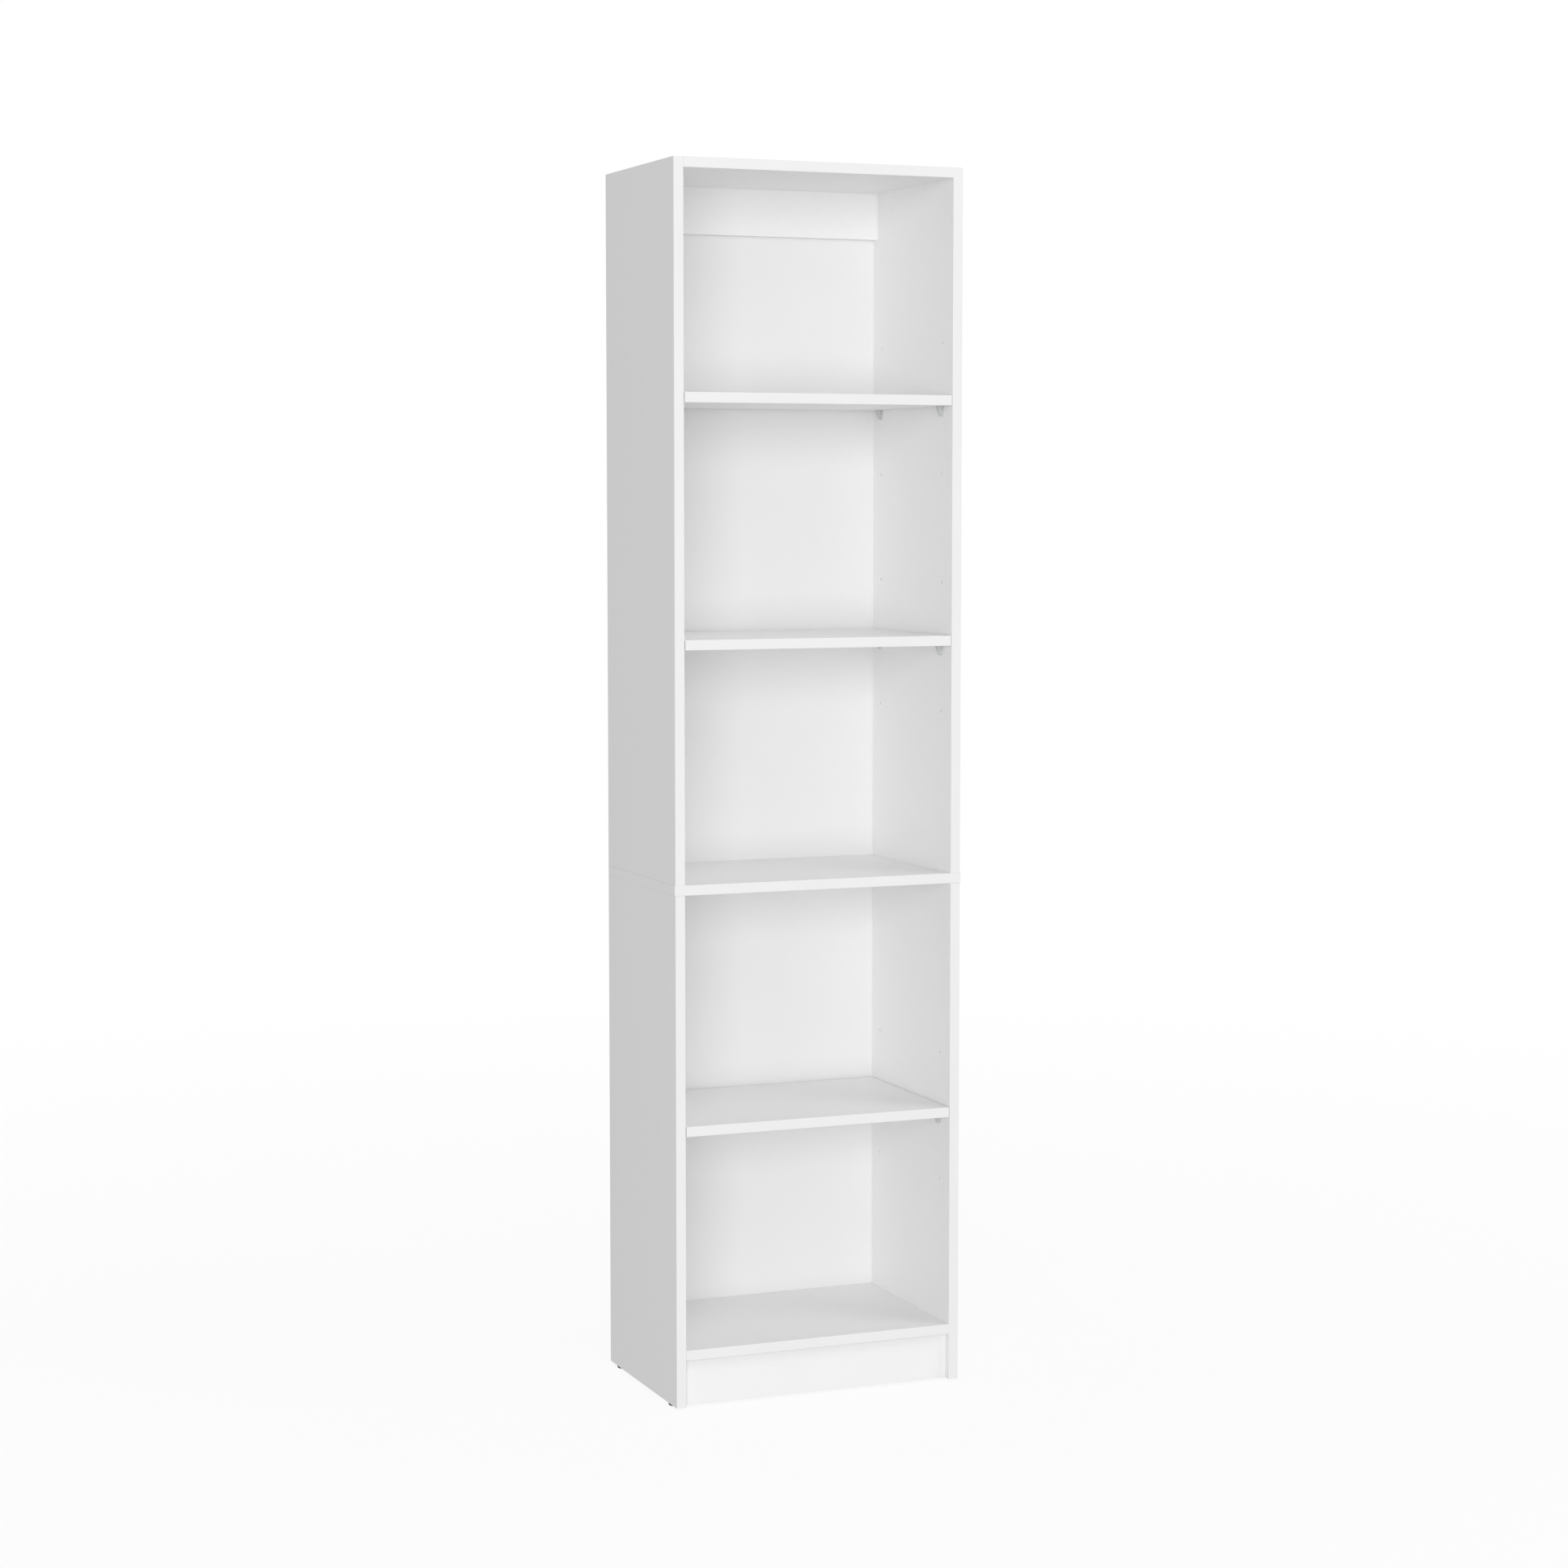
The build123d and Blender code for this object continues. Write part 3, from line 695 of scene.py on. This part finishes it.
def make_edging():
    """White edging on every front edge and on the fixed shelf's ends, where it is as white as the sides."""
    for node in [n for n in frame["nodes"] if n.endswith("_edging")]:
        low, high = corners(node)
        skin = Skin()
        if node == "fixed_shelf_edging":
            board_low, board_high = corners("fixed_shelf")
            strip(skin, low, np.array([high[X], board_low[Y], high[Z]]), Y, -1)
            strip(skin, np.array([low[X], board_low[Y], low[Z]]),
                  np.array([board_low[X], board_high[Y], high[Z]]), X, -1, 1)
            strip(skin, np.array([board_high[X], board_low[Y], low[Z]]),
                  np.array([high[X], board_high[Y], high[Z]]), X, 1, 1)
        else:
            strip(skin, low, high, Y, -1)
        finishes = [EDGING, MELAMINE] if node == "fixed_shelf_edging" else [EDGING]
        piece = skin.piece(node + "_strip", finishes)
        fit(piece, node)


# ------------------------------------------------------------------ back sheets and nails
def make_back():
    """Hardboard sheets, white inside and brown outside, with a seat for each nail head."""
    def finish_of(axis, sign):
        return 0 if (axis, sign) == (Y, -1) else 1
    for level in ("upper", "lower"):
        node, nails = "back_panel_" + level, "back_nails_" + level
        low, high = corners(node)
        holes, skin = [], Skin()
        for nail_low, nail_high in solid_boxes(nails):
            centre, radius = (nail_low + nail_high) / 2, (nail_high[X] - nail_low[X]) / 2
            holes.append(Hole(Y, 1, (centre[X], centre[Z]), radius + NAIL_SEAT_PLAY, NAIL_SEAT_DEPTH))
            head = (centre[X], nail_high[Y], centre[Z])
            nail_profile(skin, head, (0, 1, 0), radius, nail_high[Y] - nail_low[Y])
        sheet = board_skin(low, high, finish_of, holes).piece(node + "_sheet", [LACQUERED, HARDBOARD])
        fit(eased(sheet, SHEET_ARRIS), node)
        fit(skin.piece(nails + "_driven", [NAIL_STEEL]), nails)


def nail_profile(skin, head_place, normal, head_radius, length):
    """A wire nail: point, shank, flat head with a rounded rim and a slightly domed face."""
    shank, thick = head_radius * NAIL_SHANK_SHARE, NAIL_HEAD_THICKNESS
    profile = [(0, -length), (shank, -length + NAIL_POINT), (shank, -thick), (head_radius * 0.97, -thick),
               (head_radius, -thick * 0.7), (head_radius, -0.25 * MM), (head_radius * 0.9, -0.1 * MM),
               (head_radius * 0.5, -0.02 * MM), (0, 0)]
    turned(skin, profile, head_place, normal, facets=NAIL_FACETS)


# ------------------------------------------------------------------ cams
def cross_recess(skin, origin, normal, radius, face_height):
    """A flat disc with a cross-shaped recess: between the rim and the cross the disc is cut into eight faces,
    four in front of the arms and four between them. The recess narrows towards its floor."""
    arm, half = CROSS_ARM, CROSS_HALF_WIDTH
    quarter = np.array([(arm, -half), (arm, half), (half, half)])
    turns = [(math.cos(a), math.sin(a)) for a in np.arange(4) * math.tau / 4]
    cross = np.concatenate([quarter @ np.array([(c, s), (-s, c)]) for c, s in turns])
    u, v = axes_round(normal)
    angle = math.tau / 8 + np.arange(HOLE_FACETS) * math.tau / HOLE_FACETS
    rim = radius * np.stack([np.cos(angle), np.sin(angle)], -1)

    def lifted(flat, height):
        return origin + flat[:, :1] * u + flat[:, 1:] * v + height * np.asarray(normal, float)

    step = HOLE_FACETS // 4
    near = step // 6
    faces = []
    for k in range(4):
        axis_at = k * step - step // 2
        front = [12 + (axis_at + j) % HOLE_FACETS for j in range(-near, near + 1)]
        side = [12 + (axis_at + j) % HOLE_FACETS for j in range(near, step - near + 1)]
        faces.append([3 * k] + front + [3 * k + 1])
        faces.append([3 * k + 1] + side + [(3 * k + 3) % 12, 3 * k + 2])
    skin.add(lifted(np.concatenate([cross, rim]), face_height), faces)
    recess_floor = lifted(cross * CROSS_TAPER, face_height - CROSS_DEPTH)
    walls = np.concatenate([lifted(cross, face_height), recess_floor])
    skin.add(walls, quads(2, 12, False, True))
    skin.add(walls[12:], [np.arange(12)])


def make_cams():
    """Zinc cams: a drum with a low rim round its face and a cross recess for the screwdriver."""
    for board, (axis, sign) in CAM_FACES.items():
        node = board + "_cam_locks"
        normal = np.zeros(3)
        normal[axis] = sign
        skin = Skin()
        for low, high in solid_boxes(node):
            centre = (low + high) / 2
            face = high[axis] if sign > 0 else low[axis]
            origin = centre.copy()
            origin[axis] = face
            radius = (high - low)[(axis + 1) % 3] / 2
            height = (high - low)[axis]
            profile = [(0, -height), (radius, -height), (radius, -0.4 * MM), (radius - 0.3 * MM, -0.1 * MM),
                       (radius - 0.5 * MM, 0), (radius - 1.0 * MM, 0), (radius - 1.3 * MM, -CAM_RIM_HEIGHT),
                       (CAM_FACE_RADIUS, -CAM_RIM_HEIGHT)]
            turned(skin, profile, origin, normal, smooth=False)
            cross_recess(skin, origin, normal, CAM_FACE_RADIUS, -CAM_RIM_HEIGHT)
        fit(skin.piece(node + "_drums", [ZINC]), node)


# ------------------------------------------------------------------ glides
def make_glides():
    """Round feet with a soft-edged sole, and the nail that holds each one."""
    for side in ("left", "right"):
        for row in ("front", "rear"):
            node = f"glide_{row}_{side}"
            low, high = corners(node)
            centre, radius, height = (low + high) / 2, (high - low)[X] / 2, (high - low)[Z]
            sole, seat, bore = SOLE_ROUNDING, NAIL_RECESS_RADIUS, NAIL_BORE_RADIUS
            recess = [(bore, NAIL_RECESS_DEPTH), (seat, NAIL_RECESS_DEPTH), (seat, NAIL_RECESS_CHAMFER),
                      (seat + NAIL_RECESS_CHAMFER, 0)]
            rounding = arc((radius - sole, sole), sole, -90, 0, SOLE_STEPS)
            top = [(radius, height - GLIDE_CHAMFER), (radius - GLIDE_CHAMFER, height), (bore, height)]
            profile = np.concatenate([recess, rounding, top])
            skin = Skin()
            turned(skin, profile, (centre[X], centre[Y], low[Z]), (0, 0, 1), ring=True)
            fit(skin.piece(node + "_foot", [GLIDE_PLASTIC]), node)
    nails = Skin()
    for low, high in solid_boxes("glide_nails"):
        centre = (low + high) / 2
        radius, length = (high - low)[X] / 2, (high - low)[Z]
        nail_profile(nails, (centre[X], centre[Y], low[Z]), (0, 0, -1), radius, length)
    fit(nails.piece("glide_nails_driven", [NAIL_STEEL]), "glide_nails")


# ------------------------------------------------------------------ shelf pins
def pin_outline(reach, width, corner, steps=8):
    """Half-round section of the wedge: flat against the wall, straight flanks, two rounded outer corners."""
    half = width / 2
    lower = arc((reach - corner, -half + corner), corner, -90, 0, steps)
    upper = arc((reach - corner, half - corner), corner, 0, 90, steps)
    return np.concatenate([[(0.0, -half)], lower, upper, [(0.0, half)]])


def pin_skin(origin, inward, reach, width, drop):
    """The wedge is a stack of sections from the tip up to the ledge. Reach, width and corner fall off as a
    power of the depth below the ledge, so that the wedge bellies out, and near the tip and at the ledge's rim
    the section draws in along a quarter circle. The peg is turned."""
    turn_tip = np.radians(np.linspace(90, 0, TIP_STEPS + 1))
    turn_rim = np.radians(np.linspace(0, 90, RIM_STEPS + 1))
    flank = np.linspace(-drop + TIP_ROUNDING, -LEDGE_RIM, FLANK_STEPS + 2)[1:-1]
    inset = np.concatenate([TIP_ROUNDING * (1 - np.cos(turn_tip)), np.zeros(FLANK_STEPS),
                            LEDGE_RIM * (1 - np.cos(turn_rim))])
    height = np.concatenate([-drop + TIP_ROUNDING * (1 - np.sin(turn_tip)), flank,
                             -LEDGE_RIM + LEDGE_RIM * np.sin(turn_rim)])
    share = np.clip(-height / drop, 0, 1) ** WEDGE_BELLY
    reaches = reach + (TIP_REACH - reach) * share - inset
    widths = width + (TIP_WIDTH - width) * share - 2 * inset
    rounding = np.maximum(LEDGE_CORNER + (TIP_CORNER - LEDGE_CORNER) * share - inset, LEAST_CORNER)
    rows = []
    for *size, z in zip(reaches, widths, rounding, height):
        section = pin_outline(*size)
        rows.append(np.column_stack([section, np.full(len(section), z)]))
    local = np.array(rows)
    if inward < 0:
        local = local * (-1, -1, 1)
    points = np.asarray(origin) + local
    skin = Skin()
    count = local.shape[1]
    skin.add(points, quads(len(rows), count, False, True), smooth=True)
    skin.add(points[0], [np.arange(count)[::-1]])
    skin.add(points[-1], [np.arange(count)])
    groove = PEG_RADIUS - GROOVE_DEPTH
    length = PEG_LENGTH + LEDGE_RIM
    profile = [(0, 0), (PEG_RADIUS, 0)]
    for start in GROOVE_STARTS:
        end = start + 2 * GROOVE_SLOPE + GROOVE_FLOOR
        profile += [(PEG_RADIUS, start), (groove, start + GROOVE_SLOPE), (groove, end - GROOVE_SLOPE),
                    (PEG_RADIUS, end)]
    profile += [(PEG_RADIUS, length - PEG_CHAMFER), (PEG_RADIUS - PEG_CHAMFER, length), (0, length)]
    root = np.asarray(origin) + (inward * LEDGE_RIM, 0, -PEG_DROP)
    turned(skin, profile, root, (-inward, 0, 0), facets=PEG_FACETS)
    return skin


def make_pins():
    """Four pins under each loose shelf, in their CAD boxes, each ledge's top at the shelf's underside."""
    for level in ("upper", "centre", "lower"):
        for row in ("front", "rear"):
            for side, inward in (("left", 1), ("right", -1)):
                node = f"shelf_pin_{level}_{row}_{side}"
                low, high = corners(node)
                wall = corners(f"{side}_side_{'lower' if level == 'lower' else 'upper'}")
                inner = wall[1][X] if inward > 0 else wall[0][X]
                reach = (high[X] - inner) if inward > 0 else (inner - low[X])
                origin = (inner, (low[Y] + high[Y]) / 2, high[Z])
                skin = pin_skin(origin, inward, reach, high[Y] - low[Y], high[Z] - low[Z])
                fit(skin.piece(node + "_moulding", [FROSTED]), node)


# ------------------------------------------------------------------ fasteners kept from the CAD model
def dress_fasteners():
    """Bolts, dowels and screws lie inside the joints: the CAD shapes stay and get their finishes."""
    dress = {"short_dowels": BEECH, "long_dowels": BEECH, "joining_screws": SCREW_STEEL}
    dress.update({board + "_cam_bolts": BOLT_STEEL for board in CAM_FACES})
    for node, material in dress.items():
        for place in frame["nodes"][node].material_slots:
            place.material = material


# ------------------------------------------------------------------ studio
def make_floor():
    """A thin white floor that takes a faint shadow under the bookcase and fades out all round, so that it has
    no edge against the white surroundings."""
    angle = np.arange(FLOOR_FACETS) * math.tau / FLOOR_FACETS
    radii = np.array(FLOOR_RINGS)
    points = np.zeros((len(radii), len(angle), 3))
    points[:, :, 0] = radii[:, None] * np.cos(angle)
    points[:, :, 1] = radii[:, None] * np.sin(angle)
    skin = Skin()
    skin.add(points[::-1], quads(len(radii), len(angle), False, True))
    finish = Finish("studio_floor", Roughness=0.9, Specular_IOR_Level=0.0)
    finish.shader.inputs["Base Color"].default_value = grey(0.9)
    distance = finish.node("ShaderNodeVectorMath", {"operation": "LENGTH"}, {0: finish.place}, "Value")
    near, far = FLOOR_FADE
    stops = [(near / FLOOR_SPAN, grey(FLOOR_STRENGTH)), (far / FLOOR_SPAN, grey(0.0))]
    finish.link("Alpha", finish.ramp(distance * (1 / FLOOR_SPAN), stops))
    skin.piece("studio_floor", [finish.material])


def make_light(name, place, size, power):
    """A square soft lamp that faces the middle of the bookcase and isn't seen itself."""
    data = bpy.data.lights.new(name, "AREA")
    data.size = size
    data.energy = power
    lamp = bpy.data.objects.new(name, data)
    bpy.context.scene.collection.objects.link(lamp)
    lamp.location = place
    aim = np.array(LIGHT_TARGET) - np.array(place)
    lamp.rotation_euler = (math.atan2(math.hypot(aim[0], aim[1]), -aim[2]), 0, math.atan2(-aim[0], aim[1]))
    lamp.visible_camera = False


def make_studio():
    """Even white surroundings, seen at full strength and lighting at about half of it, and two broad soft
    lamps, one on the viewer's side and one high on the right."""
    world = bpy.data.worlds.new("studio")
    bpy.context.scene.world = world
    world.use_nodes = True
    tree = world.node_tree
    sky = tree.nodes["Background"]
    sky.inputs["Color"].default_value = grey(1.0)
    ray = tree.nodes.new("ShaderNodeLightPath")
    strength = tree.nodes.new("ShaderNodeMapRange")
    strength.inputs["To Min"].default_value = SKY_LIGHT
    strength.inputs["To Max"].default_value = 1.0
    tree.links.new(ray.outputs["Is Camera Ray"], strength.inputs["Value"])
    tree.links.new(strength.outputs["Result"], sky.inputs["Strength"])
    for name, (place, size, power) in LIGHTS.items():
        make_light(name, place, size, power)
    bpy.context.scene.view_settings.view_transform = "Standard"
    bpy.context.scene.cycles.diffuse_bounces = DIFFUSE_BOUNCES


def make_camera():
    """The camera stands in front and to the left, 1.3 m above the floor, and looks slightly down."""
    data = bpy.data.cameras.new("camera")
    data.sensor_width = 36.0
    data.lens = CAMERA_LENS
    camera = bpy.data.objects.new("camera", data)
    bpy.context.scene.collection.objects.link(camera)
    camera.location = CAMERA_PLACE
    camera.rotation_euler = (math.radians(90 + CAMERA_PITCH), 0, math.radians(-CAMERA_YAW))
    bpy.context.scene.camera = camera


make_camera()
make_studio()
make_floor()
make_sides()
make_cross_boards()
make_edging()
make_back()
make_cams()
make_glides()
make_pins()
dress_fasteners()
